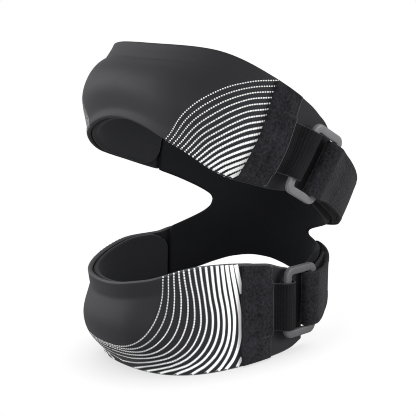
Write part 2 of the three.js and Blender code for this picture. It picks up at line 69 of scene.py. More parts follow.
STRAP_LOOP = np.array([  # from the wall round the buckle's far bar
    (44, 0.90), (26, 1.0), (20.2, 1.7), (15.2, 2.5), (10.6, 2.75), (6.8, 3.0), (4.6, 3.9), (3.8, 5.4), (4.5, 7.1), (7.0, 8.5), (10.6, 8.9)])
UPPER_STRAP_BACK = np.array([(14.6, 7.9), (18, 7.2), (23.5, 6.5), (30, 6.1), (38, 5.8), (50, 5.0), (62, 3.8)])   # and back over itself
LOWER_STRAP_BACK = np.array([(14.6, 7.7), (18, 6.8), (23.5, 6.0), (30, 5.1), (38, 4.0), (50, 3.1)])


def strap_path(end, back):
    return np.concatenate([[(end - 28, 0.90)], STRAP_LOOP, back, [(end, 3.05)]])


def rad(v):
    return np.asarray(v, float) * math.pi / 180


def smooth(u):
    u = np.clip(u, 0, 1)
    return u * u * (3 - 2 * u)


def power(v, p):
    return np.sign(v) * (np.abs(v) + 1e-9) ** p


def read(table, column, x):
    """Smooth interpolation through a table's rows, flat past the ends."""
    k, v = table[:, 0].astype(float), table[:, column].astype(float)
    x = np.clip(np.asarray(x, float), k[0], k[-1])
    i = np.clip(np.searchsorted(k, x, side="right") - 1, 0, len(k) - 2)
    dk, sec = np.diff(k), np.diff(v) / np.diff(k)
    slope = np.empty(len(k))
    slope[0], slope[-1] = 0.5 * sec[0], 0.5 * sec[-1]
    a, b = sec[:-1], sec[1:]
    slope[1:-1] = np.where(a * b <= 0, 0, 2 * a * b / np.where(a + b == 0, 1, a + b))
    h = dk[i]
    u = (x - k[i]) / h
    return (v[i] * (2 * u**3 - 3 * u**2 + 1) + slope[i] * h * (u**3 - 2 * u**2 + u)
            + v[i + 1] * (3 * u**2 - 2 * u**3) + slope[i + 1] * h * (u**3 - u**2))


AXIS_W = -30 + 0.5 * np.arange(461)
_a = rad(BEND) * smooth((AXIS_W + 0.25 - BEND_FROM) / (BEND_TO - BEND_FROM))
AXIS_Y = np.concatenate([[0], np.cumsum(np.sin(_a[:-1]) * 0.5)])
AXIS_Z = np.concatenate([[-30.0], -30 + np.cumsum(np.cos(_a[:-1]) * 0.5)])


def P(t, w, d):
    """Point at angle t, height w along the leg and d out from the wall's inner face, in millimetres."""
    t, w, d = np.broadcast_arrays(np.asarray(t, float), np.asarray(w, float), np.asarray(d, float))
    c, s, g = np.cos(rad(t)), np.sin(rad(t)), smooth((w - SIZE_FROM) / (SIZE_TO - SIZE_FROM))
    front, back = np.maximum(c, 0), np.maximum(-c, 0)
    a = (LOWER["depth"] * (1 - g) + UPPER["depth"] * g + d - CALF_LEAN * np.maximum(50 - w, 0) * front
         + THIGH_LEAN * np.maximum(w - 100, 0) * front - WAIST * np.exp(-(((w - WAIST_AT) / WAIST_SPAN) ** 2)) * back)
    b = (LOWER["width"] * (1 - g) + UPPER["width"] * g) * (
        1 - (LOWER["egg"] * (1 - g) + UPPER["egg"] * g) * front + (LOWER["egg_back"] * (1 - g) + UPPER["egg_back"] * g) * back) + d
    x, u = b * power(s, 2 / SQUARE), a * power(c, 2 / SQUARE)
    lean = rad(BEND) * smooth((w - BEND_FROM) / (BEND_TO - BEND_FROM))
    y = np.interp(w, AXIS_W, AXIS_Y) - u * np.cos(lean)
    z = np.interp(w, AXIS_W, AXIS_Z) + u * np.sin(lean)
    p = rad(PITCH)
    return np.stack([x - ORIGIN[0], y * np.cos(p) + z * np.sin(p) - ORIGIN[1], z * np.cos(p) - y * np.sin(p) - FLOOR], -1)


def floor_w(t, d):
    """Height along the leg at which the wall meets the floor."""
    w = np.full(np.shape(t), -5.0)
    for _ in range(5):
        w = w - P(t, w, d)[..., 2] / 0.97
    return w


def dome(v, form):
    q = np.clip(np.abs(2 * v - 1), 0, 1)
    return form["high"] * (1 - q ** form["edge"]) ** np.where(v < 0.5, form["foot"], form["power"])


def upper_bulge(t, w):
    low, high = read(UPPER_EDGES, 1, t) + BULGE_UPPER["above"], read(UPPER_EDGES, 2, t) - BULGE_UPPER["below"]
    return (1 - smooth((np.abs(t) - 14) / 46)) * dome((w - low) / (high - low), BULGE_UPPER)


def lower_bulge(t, w):
    low, high = floor_w(t, 0) + BULGE_LOWER["above"], read(LOWER_EDGES, 2, t) - BULGE_LOWER["below"]
    return (1 - smooth((np.abs(t) - 16) / 40)) * dome((w - low) / (high - low), BULGE_LOWER)


def upper_tuck(t, w):
    """How far the upper band and its pad draw in at height w."""
    t = np.asarray(t, float)
    fade = np.where(t < 0, 1 - smooth((-t - 35) / 45), 1 - smooth((t - 15) / 40))
    low, high = read(UPPER_EDGES, 1, t), read(UPPER_EDGES, 2, t)
    return fade * (TUCK_TOP * smooth((w - high + TUCK_TOP_SPAN) / TUCK_TOP_SPAN) + TUCK_BOTTOM * smooth((low + TUCK_BOTTOM_SPAN - w) / TUCK_BOTTOM_SPAN))

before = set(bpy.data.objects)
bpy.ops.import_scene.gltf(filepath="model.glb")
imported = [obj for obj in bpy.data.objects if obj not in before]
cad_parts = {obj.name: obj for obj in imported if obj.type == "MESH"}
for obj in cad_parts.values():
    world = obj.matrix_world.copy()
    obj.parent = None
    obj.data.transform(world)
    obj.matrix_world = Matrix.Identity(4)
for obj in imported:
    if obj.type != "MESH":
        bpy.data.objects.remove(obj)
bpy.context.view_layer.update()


# ---------- meshes ----------
def make_mesh(name, points_mm, faces, materials, face_material=None, smooth_faces=True):
    mesh = bpy.data.meshes.new(name)
    mesh.from_pydata((np.asarray(points_mm) * MM).tolist(), [], faces)
    for m in materials:
        mesh.materials.append(m)
    if face_material is not None:
        mesh.polygons.foreach_set("material_index", np.asarray(face_material, dtype=np.int32))
    mesh.polygons.foreach_set("use_smooth", [smooth_faces] * len(mesh.polygons))
    mesh.update()
    obj = bpy.data.objects.new(name, mesh)
    bpy.context.scene.collection.objects.link(obj)
    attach(obj, "root")
    return obj


def unit(v):
    return v / np.maximum(np.linalg.norm(v, axis=-1, keepdims=True), 1e-9)


def solid(name, outer, inner, quads, rim, materials, steps=6, ground=False):
    """A soft wall between two surfaces with the same grid, closed by a rounded rim that stands out by rim millimetres."""
    clean = []
    for q in quads:
        f = []
        for v in q:
            if v not in f:
                f.append(v)
        if len(f) > 2:
            clean.append(tuple(f))
    used = sorted({v for f in clean for v in f})
    place = {v: i for i, v in enumerate(used)}
    clean = [tuple(place[v] for v in f) for f in clean]
    outer, inner = outer[used], inner[used]
    n = len(used)
    f0 = np.array(clean[len(clean) // 2][:3])
    facing = np.cross(outer[f0[1]] - outer[f0[0]], outer[f0[2]] - outer[f0[0]])
    if np.dot(facing, outer[f0[0]] - inner[f0[0]]) < 0:
        clean = [f[::-1] for f in clean]
    edges = {}
    for f in clean:
        for a, b in zip(f, f[1:] + f[:1]):
            if (b, a) in edges:
                del edges[(b, a)]
            else:
                edges[(a, b)] = True
    after = {}
    for a, b in edges:
        after.setdefault(a, []).append(b)
    border = sorted(after)
    before = {}
    for a, b in edges:
        before.setdefault(b, []).append(a)
    slot_of = {v: i for i, v in enumerate(border)}
    bi = np.array(border)
    nxt = np.array([after[v][0] for v in border])
    prv = np.array([before[v][0] for v in border])
    normal = unit(outer[bi] - inner[bi])
    centre = (outer + inner) / 2
    along = unit(unit(centre[nxt] - centre[bi]) + unit(centre[bi] - centre[prv]))
    away = unit(np.cross(along, normal))
    half = (outer[bi] - inner[bi]) / 2
    mid = centre[bi]
    points, faces, mat = [outer, inner], list(clean) + [tuple(v + n for v in f[::-1]) for f in clean], [0] * len(clean) + [1] * len(clean)
    rings = [bi]
    for k in range(1, steps):
        a = math.pi * k / steps
        rings.append(np.arange(len(border)) + 2 * n + (k - 1) * len(border))
        points.append(mid + math.cos(a) * half + math.sin(a) * rim * away)
    rings.append(bi + n)
    for a, b in edges:
        i, j = slot_of[a], slot_of[b]
        for k in range(steps):
            faces.append((int(rings[k][j]), int(rings[k][i]), int(rings[k + 1][i]), int(rings[k + 1][j])))
            mat.append(2)
    points = np.concatenate(points)
    if ground:
        points[:, 2] = np.maximum(points[:, 2], 0.0)
    return make_mesh(name, points, faces, materials, mat)


def grid_quads(columns, rows):
    i, j = np.meshgrid(np.arange(columns - 1), np.arange(rows - 1), indexing="ij")
    a = (i * rows + j).ravel()
    b = a + rows
    return list(zip(a.tolist(), b.tolist(), (b + 1).tolist(), (a + 1).tolist()))


def per_degree(t, w):
    return np.linalg.norm(P(t + 0.5, w, 1.0) - P(t - 0.5, w, 1.0))


def band(name, t0, t1, step, rows, low, high, d_out, d_in, rim, materials, ground=False, more=()):
    """Wall over the angles t0..t1; low(t, outer) and high(t) are its edges."""
    ts = np.unique(np.concatenate([np.linspace(t0, t1, int(round((t1 - t0) / step)) + 1), np.array(more, float)])) if len(more) else np.linspace(t0, t1, int(round((t1 - t0) / step)) + 1)
    v = np.linspace(0, 1, rows + 1)
    T = np.repeat(ts[:, None], rows + 1, 1)
    wo = low(T, True) + rim + (high(T) - rim - low(T, True) - rim) * v
    wi = low(T, False) + rim + (high(T) - rim - low(T, False) - rim) * v
    outer, inner = P(T, wo, d_out(T, wo)), P(T, wi, d_in(T, wi))
    return solid(name, outer.reshape(-1, 3), inner.reshape(-1, 3), grid_quads(len(ts), rows + 1), rim, materials, ground=ground)


# ---------- materials ----------
def material(name):
    m = bpy.data.materials.new(name)
    m.use_nodes = True
    tree = m.node_tree
    shader = next(n for n in tree.nodes if n.type == "BSDF_PRINCIPLED")
    return m, tree, shader


def link(tree, a, b):
    tree.links.new(a, b)


def value(tree, kind, **inputs):
    n = tree.nodes.new(kind)
    for k, v in inputs.items():
        n.inputs[k].default_value = v
    return n


def cloth(name, dark, light, rough, fine, coarse=28.0, bump=0.2, depth=0.00015, sheen=0.0, specular=0.3, mottle=0.5, worn=0.0, ribs=None, coat=0.0):
    """Fabric: two tones mixed by a coarse and a fine noise, a fine knit or nap in the bump, and a soft sheen."""
    m, tree, shader = material(name)
    where = tree.nodes.new("ShaderNodeTexCoord")
    small = value(tree, "ShaderNodeTexNoise", Scale=fine, Detail=3.0, Roughness=0.6)
    big = value(tree, "ShaderNodeTexNoise", Scale=coarse, Detail=4.0, Roughness=0.55)
    cells = value(tree, "ShaderNodeTexVoronoi", Scale=fine * 0.8)
    for n in (small, big, cells):
        link(tree, where.outputs["Object"], n.inputs["Vector"])
    tone = tree.nodes.new("ShaderNodeMath")
    tone.operation = "MULTIPLY_ADD"
    tone.inputs[1].default_value = mottle
    link(tree, small.outputs["Fac"], tone.inputs[0])
    half = tree.nodes.new("ShaderNodeMath")
    half.operation = "MULTIPLY"
    half.inputs[1].default_value = 1 - mottle
    link(tree, big.outputs["Fac"], half.inputs[0])
    link(tree, half.outputs[0], tone.inputs[2])
    ramp = tree.nodes.new("ShaderNodeMapRange")
    ramp.inputs["From Min"].default_value, ramp.inputs["From Max"].default_value = 0.32, 0.68
    link(tree, tone.outputs[0], ramp.inputs["Value"])
    mix = tree.nodes.new("ShaderNodeMix")
    mix.data_type = "RGBA"
    link(tree, ramp.outputs["Result"], mix.inputs["Factor"])
    mix.inputs[6].default_value = (*dark, 1)
    mix.inputs[7].default_value = (*light, 1)
    colour = mix.outputs[2]
    if worn:
        # a little wear: the pile is lighter where it is rubbed
        patch = value(tree, "ShaderNodeTexNoise", Scale=60.0, Detail=2.0, Roughness=0.5)
        link(tree, where.outputs["Object"], patch.inputs["Vector"])
        rub = tree.nodes.new("ShaderNodeMapRange")
        rub.inputs["From Min"].default_value, rub.inputs["From Max"].default_value = 0.52, 0.78
        rub.inputs["To Max"].default_value = worn
        link(tree, patch.outputs["Fac"], rub.inputs["Value"])
        lift = tree.nodes.new("ShaderNodeMix")
        lift.data_type = "RGBA"
        link(tree, rub.outputs["Result"], lift.inputs["Factor"])
        link(tree, colour, lift.inputs[6])
        lift.inputs[7].default_value = (*[min(1, c * 2.2) for c in light], 1)
        colour = lift.outputs[2]
    link(tree, colour, shader.inputs["Base Color"])
    relief = tree.nodes.new("ShaderNodeMath")
    relief.operation = "ADD"
    link(tree, small.outputs["Fac"], relief.inputs[0])
    link(tree, cells.outputs["Distance"], relief.inputs[1])
    raised = tree.nodes.new("ShaderNodeBump")
    raised.inputs["Strength"].default_value, raised.inputs["Distance"].default_value = bump, depth
    link(tree, relief.outputs[0], raised.inputs["Height"])
    link(tree, raised.outputs["Normal"], shader.inputs["Normal"])
    uneven = tree.nodes.new("ShaderNodeMapRange")
    uneven.inputs["To Min"].default_value, uneven.inputs["To Max"].default_value = rough - 0.05, min(1, rough + 0.05)
    link(tree, big.outputs["Fac"], uneven.inputs["Value"])
    link(tree, uneven.outputs["Result"], shader.inputs["Roughness"])
    shader.inputs["Specular IOR Level"].default_value = specular
    shader.inputs["Sheen Weight"].default_value = sheen
    shader.inputs["Sheen Roughness"].default_value = 0.45
    shader.inputs["Coat Weight"].default_value = coat
    shader.inputs["Coat Roughness"].default_value = 0.5
    return m


def moulded(name, dark, light, rough):
    """Moulded plastic: fine spark texture, slightly lighter scuffs."""
    m, tree, shader = material(name)
    where = tree.nodes.new("ShaderNodeTexCoord")
    small = value(tree, "ShaderNodeTexNoise", Scale=2600.0, Detail=2.0, Roughness=0.5)
    big = value(tree, "ShaderNodeTexNoise", Scale=140.0, Detail=4.0, Roughness=0.6)
    for n in (small, big):
        link(tree, where.outputs["Object"], n.inputs["Vector"])
    mix = tree.nodes.new("ShaderNodeMix")
    mix.data_type = "RGBA"
    link(tree, big.outputs["Fac"], mix.inputs["Factor"])
    mix.inputs[6].default_value = (*dark, 1)
    mix.inputs[7].default_value = (*light, 1)
    link(tree, mix.outputs[2], shader.inputs["Base Color"])
    raised = tree.nodes.new("ShaderNodeBump")
    raised.inputs["Strength"].default_value, raised.inputs["Distance"].default_value = 0.25, 0.00006
    link(tree, small.outputs["Fac"], raised.inputs["Height"])
    link(tree, raised.outputs["Normal"], shader.inputs["Normal"])
    uneven = tree.nodes.new("ShaderNodeMapRange")
    uneven.inputs["To Min"].default_value, uneven.inputs["To Max"].default_value = rough - 0.06, rough + 0.08
    link(tree, big.outputs["Fac"], uneven.inputs["Value"])
    link(tree, uneven.outputs["Result"], shader.inputs["Roughness"])
    shader.inputs["Specular IOR Level"].default_value = 0.5
    return m


FRONT = cloth("front_cloth", (0.0170, 0.0170, 0.0200), (0.0225, 0.0225, 0.0262), 0.62, 1500.0, bump=0.15, depth=0.0001, sheen=0.04, specular=0.17, mottle=0.35)
FRONT_IN = cloth("front_lining", (0.010, 0.0103, 0.0115), (0.014, 0.0144, 0.0158), 0.92, 1300.0, sheen=0.03, specular=0.1)
# lighter rim colour: partly the cut laminate's own grey, partly a painted highlight where the edge catches the light
EDGE_CUT_AND_HIGHLIGHT = cloth("cut_edge_and_painted_highlight", (0.055, 0.055, 0.058), (0.085, 0.085, 0.09), 0.8, 1800.0, bump=0.2, specular=0.2)
EDGE_MID = cloth("woven_edge", (0.038, 0.038, 0.041), (0.060, 0.060, 0.064), 0.85, 1800.0, bump=0.2, specular=0.15)
EDGE_DARK = cloth("bound_edge", (0.016, 0.016, 0.0175), (0.026, 0.026, 0.028), 0.85, 1800.0, bump=0.2, specular=0.2)
LINING = cloth("lining", (0.0125, 0.0127, 0.0145), (0.0165, 0.0168, 0.019), 0.9, 1200.0, sheen=0.08, specular=0.15)
PANEL_CLOTH = cloth("panel_cloth", (0.0058, 0.0061, 0.0072), (0.0078, 0.0082, 0.0096), 0.92, 1200.0, sheen=0.04, specular=0.12)
NAP = cloth("loop_nap", (0.004, 0.004, 0.0056), (0.031, 0.031, 0.0362), 1.0, 760.0, coarse=150.0, bump=0.6, depth=0.0004, sheen=0.10, specular=0.06, mottle=0.7, worn=0.2)
ELASTIC = cloth("elastic", (0.0050, 0.0050, 0.0058), (0.0105, 0.0105, 0.0118), 0.88, 1500.0, coarse=120.0, bump=0.5, depth=0.0003, sheen=0.05, specular=0.12, mottle=0.55)
STRAP_NAP = cloth("strap_cloth", (0.0040, 0.0040, 0.0054), (0.0255, 0.0255, 0.0298), 1.0, 760.0, coarse=150.0, bump=0.6, depth=0.0004, sheen=0.12, specular=0.06, mottle=0.7, worn=0.2)
THREAD = cloth("thread", (0.028, 0.028, 0.03), (0.042, 0.042, 0.045), 0.75, 3000.0, bump=0.2, depth=0.0001, specular=0.2)
PATCH_THREAD = cloth("patch_thread", (0.020, 0.020, 0.0225), (0.030, 0.030, 0.0335), 0.9, 3000.0, bump=0.2, depth=0.0001, specular=0.1)
PRINT = cloth("print", (0.94, 0.94, 0.94), (0.98, 0.98, 0.98), 0.55, 1600.0, bump=0.15, depth=0.0001, specular=0.3)
GREY_LIGHT = moulded("buckle_upper", (0.145, 0.145, 0.15), (0.19, 0.19, 0.196), 0.42)
GREY_DARK = moulded("buckle_lower", (0.078, 0.078, 0.081), (0.105, 0.105, 0.109), 0.42)


# ---------- front bands, pads and panel ----------
def flap_taper(t, start, end):
    return WALL + (FLAP - WALL) * smooth((t - start) / (end - start))


upper_low, upper_high = lambda t, outer=True: read(UPPER_EDGES, 1, t), lambda t: read(UPPER_EDGES, 2, t)
lower_low, lower_high = lambda t, outer=True: floor_w(t, WALL if outer else 0.0) + read(LOWER_EDGES, 1, t), lambda t: read(LOWER_EDGES, 2, t)
upper_out = lambda t, w: flap_taper(t, 72, 80) + upper_bulge(t, w) - upper_tuck(t, w)
lower_out = lambda t, w: flap_taper(t, 88, 96) + lower_bulge(t, w)

upper_front = band("upper_band", -97.4, 98.4, 1.1, 56, upper_low, upper_high, upper_out, lambda t, w: -upper_tuck(t, w), 0.8, [FRONT, FRONT_IN, FRONT])
# the lower band's rim takes the lighter edge colour, partly a painted highlight along its top edge
lower_front = band("lower_band", -102.4, 112.4, 1.1, 56, lower_low, lower_high, lower_out, lambda t, w: 0 * w, 0.8, [FRONT, FRONT_IN, EDGE_CUT_AND_HIGHLIGHT], ground=True)


def corner(off, r, deep):
    return np.where(off >= r, 0.0, deep * (1 - np.sqrt(np.maximum(0.0, 1 - (1 - off / r) ** 2))))


def pad(name, end, low, high, tuck):
    near = lambda t: end - np.abs(t)
    fine = np.concatenate([-end + np.array([0.15, 0.4, 0.8, 1.4, 2.2, 3.2, 4.5, 6, 7.5]), end - np.array([0.15, 0.4, 0.8, 1.4, 2.2, 3.2, 4.5, 6, 7.5])])
    return band(name, -end, end, 2.0, 20, lambda t, outer: low(t) + 0.4 + corner(near(t), 9, 10), lambda t: high(t) - 0.4 - corner(near(t), 9, 10),
                lambda t, w: -0.35 - tuck(t, w), lambda t, w: -GAP - PAD - tuck(t, w), 1.0, [LINING, LINING, LINING], more=fine)


upper_pad = pad("upper_lining_pad", 89.2, lambda t: upper_low(t), upper_high, upper_tuck)
lower_pad = pad("lower_lining_pad", 93.6, lambda t: floor_w(t, -GAP) + read(LOWER_EDGES, 1, t) + 0.5, lower_high, lambda t, w: 0 * w)


def notch_row(table, off, column):
    r = table.astype(float).copy()
    r[:, 0] = np.sqrt(r[:, 0])
    return read(r, column, math.sqrt(off))


def build_panel():
    rim = 0.9
    far = [28.4 - 1.1 * k for k in range(25)] + [1.5, 1.1, 0.75, 0.45, 0.2, 0.07, 0.0]
    near = [0.0, 0.07, 0.2, 0.45, 0.75, 1.1, 1.6, 2.3, 3.2, 4.3] + [5.5 + 1.2 * k for k in range(58)] + [75.0]
    middle = np.linspace(FAR_NOTCH[0], NEAR_NOTCH[0], 54)[1:-1]
    bs = [FAR_NOTCH[0] - o for o in far] + list(middle) + [NEAR_NOTCH[0] + o for o in near]
    low_rows, high_rows = 16, 16
    keys, t_of, w_of, ids = {}, [], [], []
    for i, b in enumerate(bs):
        inside = FAR_NOTCH[0] - 1e-6 < b < NEAR_NOTCH[0] + 1e-6
        if inside:
            u = float(smooth((b - FAR_NOTCH[0]) / (NEAR_NOTCH[0] - FAR_NOTCH[0])))
            n_low = n_high = FAR_NOTCH[1] * (1 - u) + NEAR_NOTCH[1] * u
        else:
            tip, table = (FAR_NOTCH, FAR_OPEN) if b < 150 else (NEAR_NOTCH, NEAR_OPEN)
            off = abs(b - tip[0])
            ins = rim * min(1.0, off / 1.2)
            n_low = tip[1] - float(notch_row(table, off, 1)) - ins
            n_high = tip[1] + float(notch_row(table, off, 2)) + ins
        bottom, top = float(read(PANEL_BOTTOM, 1, b)) + rim, float(read(PANEL_TOP, 1, b)) - rim
        row = []
        for j in range(low_rows + high_rows + 2):
            w = bottom + (n_low - bottom) * j / low_rows if j <= low_rows else n_high + (top - n_high) * (j - low_rows - 1) / high_rows
            key = (i, low_rows if inside and j == low_rows + 1 else j)
            if key not in keys:
                keys[key] = len(t_of)
                t_of.append(-b)
                w_of.append(w)
            row.append(keys[key])
        ids.append(row)
    quads = []
    for i in range(len(bs) - 1):
        for j in range(low_rows + high_rows + 1):
            if j == low_rows or (j < low_rows and not (bs[i] > 95.9 and bs[i + 1] < 239.5)):
                continue
            quads.append((ids[i][j], ids[i + 1][j], ids[i + 1][j + 1], ids[i][j + 1]))
    t, w = np.array(t_of), np.array(w_of)
    return solid("knee_panel", P(t, w, -GAP), P(t, w, -GAP - PANEL), quads, rim, [PANEL_CLOTH, PANEL_CLOTH, PANEL_CLOTH])


panel = build_panel()


# ---------- the halftone lines ----------
# each row is a line: its points (t, w) from the lower edge to the seam
UPPER_LINES = {
    0: [(24.7, 90.1), (29.1, 100.5), (34.9, 110.3), (42.1, 119.0), (51.2, 125.3), (61.1, 129.7)],
    3: [(30.9, 88.7), (34.9, 96.8), (40.1, 104.2), (45.8, 111.0), (52.5, 116.7), (60.8, 120.8)],
    6: [(37.4, 87.3), (40.5, 93.2), (44.7, 98.3), (49.1, 103.3), (54.0, 107.8), (60.6, 111.6)],
    9: [(43.9, 85.9), (46.3, 89.7), (49.2, 93.2), (52.4, 96.4), (55.7, 99.2), (60.8, 102.5)],
    12: [(51.1, 84.5), (52.6, 86.3), (54.4, 87.9), (56.2, 89.4), (58.1, 90.9), (61.0, 93.2)],
    15: [(59.0, 82.4), (59.3, 82.8), (59.7, 83.0), (59.9, 83.3), (60.3, 83.7), (61.0, 84.4)],
}
# points (t, height above the floor line) from the upper edge down
LOWER_LINES = {
    0: [(41.2, 48.6), (40.0, 40.9), (37.3, 33.7), (33.0, 27.1), (27.9, 21.9), (21.8, 18.1), (15.5, 15.9), (8.9, 14.7), (2.4, 14.4)],
    2: [(46.8, 48.7), (46.4, 39.5), (44.3, 30.7), (39.6, 23.1), (33.2, 17.6), (25.9, 14.2), (18.4, 12.9), (11.3, 12.4), (3.4, 12.3)],
    4: [(52.1, 48.0), (53.2, 38.1), (51.4, 27.3), (46.4, 18.6), (38.6, 13.2), (29.6, 10.5), (21.3, 9.2), (13.6, 8.1), (4.8, 7.5)],
    6: [(57.6, 47.5), (59.2, 36.6), (58.4, 24.1), (52.6, 14.6), (43.4, 9.1), (32.8, 6.5), (22.1, 4.0), (11.8, 1.4), (0.0, -1.1)],
    8: [(63.0, 47.5), (64.2, 38.4), (65.3, 28.5), (63.7, 18.9), (58.7, 11.5), (51.2, 6.5), (42.5, 3.9), (33.6, 1.9), (25.1, -0.7)],
    10: [(68.2, 47.4), (69.2, 39.6), (70.5, 32.0), (70.8, 23.9), (69.6, 16.1), (66.0, 9.6), (60.3, 4.9), (53.5, 1.8), (47.2, -1.2)],
    12: [(73.0, 46.8), (74.2, 40.1), (75.3, 33.5), (76.0, 26.8), (75.8, 20.0), (74.8, 13.4), (72.3, 7.4), (68.2, 2.2), (63.0, -1.5)],
    14: [(77.8, 46.0), (79.0, 40.9), (80.1, 35.5), (81.0, 30.2), (81.7, 24.8), (82.1, 19.2), (82.1, 13.7), (81.2, 8.4), (78.3, 3.0)],
}


def spline(points, n):
    """Smooth curve through points, n samples, evenly spaced."""
    p = np.asarray(points, float)
    s = np.concatenate([[0], np.cumsum(np.hypot(*np.diff(p, axis=0).T))])
    if s[-1] < 1e-6:
        return np.repeat(p[:1], n, 0)
    u = np.linspace(0, s[-1], n)
    slopes = np.gradient(p, s, axis=0)
    i = np.clip(np.searchsorted(s, u, side="right") - 1, 0, len(s) - 2)
    h = (s[i + 1] - s[i])[:, None]
    v = ((u - s[i])[:, None]) / h
    return (p[i] * (2 * v**3 - 3 * v**2 + 1) + slopes[i] * h * (v**3 - 2 * v**2 + v)
            + p[i + 1] * (3 * v**2 - 2 * v**3) + slopes[i + 1] * h * (v**3 - v**2))


def family(lines, k, n):
    """The k-th line, k not always whole, from the ones in the table."""
    keys = sorted(lines)
    all_points = np.array([spline(lines[q], n) for q in keys])
    k = min(k, keys[-1])
    i = min(np.searchsorted(keys, k, side="right") - 1, len(keys) - 2)
    u = (k - keys[i]) / (keys[i + 1] - keys[i])
    a, b = all_points[i], all_points[i + 1]
    before = all_points[i - 1] if i > 0 else a - (b - a) * 1.0
    afterp = all_points[i + 2] if i + 2 < len(keys) else b + (b - a)
    ma, mb = (b - before) / 2, (afterp - a) / 2
    if i + 2 >= len(keys):
        mb = b - a
    return a * (2 * u**3 - 3 * u**2 + 1) + ma * (u**3 - 2 * u**2 + u) + b * (3 * u**2 - 2 * u**3) + mb * (u**3 - u**2)


def printed(name, count, lines, radius, pitch_of, edges, d_out, t_max, to_w, sides=(1, -1)):
    """Rows of dots that grow and run together into scalloped stripes, laid on the cloth."""
    points, faces = [], []
    rim = 0.8

    def lay(t, w):
        low, high = edges(t)
        inset = np.minimum(w - low, high - w)
        drop = np.where(inset < rim, 1 - np.sqrt(np.clip(1 - (1 - np.clip(inset, 0, rim) / rim) ** 2, 0, 1)), 0.0)
        return P(t, w, d_out(t, w) - drop * (WALL / 2) + 0.09)

    for side in sides:
        for k in range(count):
            pitch = pitch_of(k)
            tw = family(lines, k, 400)
            # run on a little past both ends; what passes an edge is cut off below
            first, final = unit(tw[0] - tw[3]), unit(tw[-1] - tw[-4])
            tw = np.concatenate([[tw[0] + first * 8.0], tw, [tw[-1] + final * 6.0]])
            t, w = tw[:, 0], to_w(tw[:, 0], tw[:, 1])
            base = P(t, w, d_out(t, w))
            s = np.concatenate([[0], np.cumsum(np.linalg.norm(np.diff(base, axis=0), axis=1))])
            n_dots = max(1, int(s[-1] / pitch))
            fine = pitch / 10
            u = np.arange(0, n_dots * pitch, fine)
            tt, ww = np.interp(u, s, t), np.interp(u, s, w)
            r = radius(k, u / s[-1])
            half = np.zeros(len(u))
            for shift in (-2, -1, 0, 1, 2):
                c = (np.floor(u / pitch) + 0.5 + shift) * pitch
                half = np.maximum(half, np.sqrt(np.maximum(0, r**2 - (u - c) ** 2)))
            low, high = edges(side * tt)
            ok = (tt < t_max) & (tt > 0.0) & (ww > low + 0.12) & (ww < high - 0.12)
            half = np.where(ok, half, 0)
            # across the line, in the surface
            ahead = unit(np.gradient(np.stack([tt * 1.0, ww], 1), axis=0) * np.array([1.13, 1.0]))
            dt, dw = -ahead[:, 1] / 1.13, ahead[:, 0]
            a_t, a_w, b_t, b_w = tt + dt * half, ww + dw * half, tt - dt * half, ww - dw * half
            a_w, b_w = np.clip(a_w, low + 0.1, high - 0.1), np.clip(b_w, low + 0.1, high - 0.1)
            a_t, b_t = np.clip(a_t, 0.0, t_max), np.clip(b_t, 0.0, t_max)
            a, b = lay(side * a_t, a_w), lay(side * b_t, b_w)
            keep = (half[:-1] > 0.03) | (half[1:] > 0.03)
            for i in np.nonzero(keep & ok[:-1] & ok[1:])[0]:
                start = len(points)
                if points and faces and last == (side, k, i):
                    points.extend([a[i + 1], b[i + 1]])
                    p0 = start - 2
                    f = (p0, p0 + 1, start + 1, start)
                else:
                    points.extend([a[i], b[i], a[i + 1], b[i + 1]])
                    f = (start, start + 1, start + 3, start + 2)
                faces.append(f if side > 0 else f[::-1])
                last = (side, k, i + 1)
    return make_mesh(name, np.array(points), faces, [PRINT], smooth_faces=False)


upper_print = printed("upper_halftone", 16, UPPER_LINES, lambda k, u: float(np.interp(k, [0, 6, 15], [0.34, 0.47, 0.90])) * (0.96 + 0.08 * u), lambda k: 1.27,
                      lambda t: (read(UPPER_EDGES, 1, t), read(UPPER_EDGES, 2, t)), upper_out, 62.0, lambda t, w: w)
lower_print = printed("lower_halftone", 15, LOWER_LINES, lambda k, u: float(np.interp(k, [0, 6, 14], [0.41, 0.60, 1.08])) * (1.04 - 0.14 * u), lambda k: float(np.interp(k, [0, 6, 9, 14], [1.48, 1.4, 1.18, 1.14])),
                      lambda t: (floor_w(t, WALL), read(LOWER_EDGES, 2, t)), lower_out, 79.6, lambda t, h: floor_w(t, WALL) + h)


# ---------- closures ----------
def curve_through(path, samples=60):
    """Centripetal curve through a path's points, evenly spaced samples of about 0.2 mm."""
    p = np.asarray(path, float)
    p = np.vstack([2 * p[0] - p[1], p, 2 * p[-1] - p[-2]])
    out = []
    for i in range(1, len(p) - 2):
        p0, p1, p2, p3 = p[i - 1:i + 3]
        d = [max(np.linalg.norm(b - a), 1e-4) ** 0.5 for a, b in ((p0, p1), (p1, p2), (p2, p3))]
        m1 = ((p1 - p0) / d[0] - (p2 - p0) / (d[0] + d[1]) + (p2 - p1) / d[1]) * d[1]
        m2 = ((p2 - p1) / d[1] - (p3 - p1) / (d[1] + d[2]) + (p3 - p2) / d[2]) * d[1]
        v = np.linspace(0, 1, samples, endpoint=False)[:, None]
        out.append(p1 * (2 * v**3 - 3 * v**2 + 1) + m1 * (v**3 - 2 * v**2 + v) + p2 * (3 * v**2 - 2 * v**3) + m2 * (v**3 - v**2))
    out.append(p[-2:-1])
    out = np.concatenate(out)
    return out, np.concatenate([[0], np.cumsum(np.hypot(*np.diff(out, axis=0).T))])


